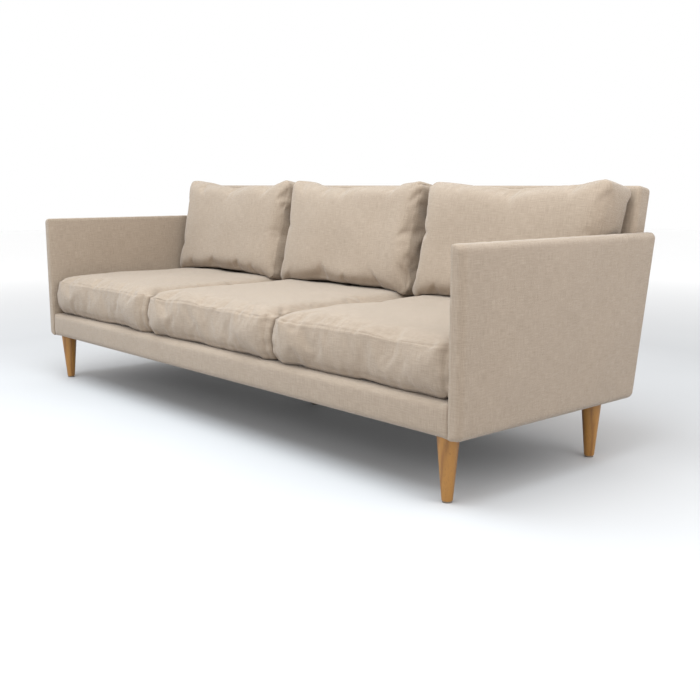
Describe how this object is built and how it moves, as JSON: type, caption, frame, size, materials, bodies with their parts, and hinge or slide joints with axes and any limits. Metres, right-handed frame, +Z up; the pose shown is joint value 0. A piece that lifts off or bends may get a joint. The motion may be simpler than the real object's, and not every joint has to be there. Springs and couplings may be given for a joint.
{
  "type": "sofa",
  "caption": "Three-seat sofa with thin upholstered arms, loose boxed seat cushions, loose back cushions and round tapered wooden legs.",
  "frame": {"origin": "on the floor under the middle of the sofa's bounding box", "axes": "+X along the sofa to the right of a person facing its front, -Y out of the front, +Z up"},
  "size_m": [2.34, 0.89, 0.834],
  "materials": {
    "linen": "matte",
    "platform_cloth": "matte",
    "foam": "matte",
    "dust_cloth": "matte",
    "webbing": "matte",
    "zip_tape": "matte",
    "zip_metal": "satin",
    "oak": "satin",
    "frame_timber": "matte",
    "plywood": "matte",
    "zinc_steel": "satin",
    "spring_steel": "satin",
    "glide_felt": "matte",
    "black_plastic": "matte"
  },
  "bodies": {
    "sofa_frame": {"arm_bolts": "zinc_steel", "arm_cover_left": "linen", "arm_cover_right": "linen", "arm_pad_left": "foam", "arm_pad_right": "foam", "arm_panel_left": "plywood", "arm_panel_right": "plywood", "back_lower_rail": "frame_timber", "back_pad": "foam", "back_posts": "frame_timber", "back_top_rail": "frame_timber", "back_wadding": "foam", "back_webbing": "webbing", "centre_foot": "black_plastic", "corner_blocks": "frame_timber", "deck_cover": "platform_cloth", "deck_felt": "foam", "dust_cover": "dust_cloth", "front_rail": "frame_timber", "inside_back_cover": "linen", "leg_bolts": "zinc_steel", "leg_front_left": "oak", "leg_front_right": "oak", "leg_glides": "glide_felt", "leg_plates": "zinc_steel", "leg_rear_left": "oak", "leg_rear_right": "oak", "outside_back_cover": "linen", "plate_screws": "zinc_steel", "rail_cover": "linen", "rail_pad": "foam", "rear_seat_rail": "frame_timber", "seat_springs": "spring_steel", "seat_stretchers": "frame_timber", "side_rails": "frame_timber", "spring_clips": "zinc_steel"},
    "seat_cushion_left": {"seat_cover_left": "linen", "seat_core_left": "foam", "seat_left_zip": "zip_tape"},
    "back_cushion_left": {"back_cover_left": "linen", "back_fill_left": "foam", "back_left_zip": "zip_tape"},
    "seat_zip_pull_left": {"seat_left_slider": "zip_metal"},
    "back_zip_pull_left": {"back_left_slider": "zip_metal"},
    "seat_cushion_middle": {"seat_cover_middle": "linen", "seat_core_middle": "foam", "seat_middle_zip": "zip_tape"},
    "back_cushion_middle": {"back_cover_middle": "linen", "back_fill_middle": "foam", "back_middle_zip": "zip_tape"},
    "seat_zip_pull_middle": {"seat_middle_slider": "zip_metal"},
    "back_zip_pull_middle": {"back_middle_slider": "zip_metal"},
    "seat_cushion_right": {"seat_cover_right": "linen", "seat_core_right": "foam", "seat_right_zip": "zip_tape"},
    "back_cushion_right": {"back_cover_right": "linen", "back_fill_right": "foam", "back_right_zip": "zip_tape"},
    "seat_zip_pull_right": {"seat_right_slider": "zip_metal"},
    "back_zip_pull_right": {"back_right_slider": "zip_metal"}
  },
  "joints": [
    {"name": "seat_cushion_left_out", "type": "slide", "parent": "sofa_frame", "child": "seat_cushion_left", "axis": [0, -1, 0], "range_m": [0, 0.76]},
    {"name": "back_cushion_left_lift", "type": "slide", "parent": "sofa_frame", "child": "back_cushion_left", "axis": [0, 0, 1], "range_m": [0, 0.45]},
    {"name": "seat_zip_left_run", "type": "slide", "parent": "seat_cushion_left", "child": "seat_zip_pull_left", "axis": [1, 0, 0], "range_m": [0, 0.596]},
    {"name": "back_zip_left_run", "type": "slide", "parent": "back_cushion_left", "child": "back_zip_pull_left", "axis": [1, 0, 0], "range_m": [0, 0.596]},
    {"name": "seat_cushion_middle_out", "type": "slide", "parent": "sofa_frame", "child": "seat_cushion_middle", "axis": [0, -1, 0], "range_m": [0, 0.76]},
    {"name": "back_cushion_middle_lift", "type": "slide", "parent": "sofa_frame", "child": "back_cushion_middle", "axis": [0, 0, 1], "range_m": [0, 0.45]},
    {"name": "seat_zip_middle_run", "type": "slide", "parent": "seat_cushion_middle", "child": "seat_zip_pull_middle", "axis": [1, 0, 0], "range_m": [0, 0.596]},
    {"name": "back_zip_middle_run", "type": "slide", "parent": "back_cushion_middle", "child": "back_zip_pull_middle", "axis": [1, 0, 0], "range_m": [0, 0.596]},
    {"name": "seat_cushion_right_out", "type": "slide", "parent": "sofa_frame", "child": "seat_cushion_right", "axis": [0, -1, 0], "range_m": [0, 0.76]},
    {"name": "back_cushion_right_lift", "type": "slide", "parent": "sofa_frame", "child": "back_cushion_right", "axis": [0, 0, 1], "range_m": [0, 0.45]},
    {"name": "seat_zip_right_run", "type": "slide", "parent": "seat_cushion_right", "child": "seat_zip_pull_right", "axis": [1, 0, 0], "range_m": [0, 0.596]},
    {"name": "back_zip_right_run", "type": "slide", "parent": "back_cushion_right", "child": "back_zip_pull_right", "axis": [1, 0, 0], "range_m": [0, 0.596]}
  ]
}
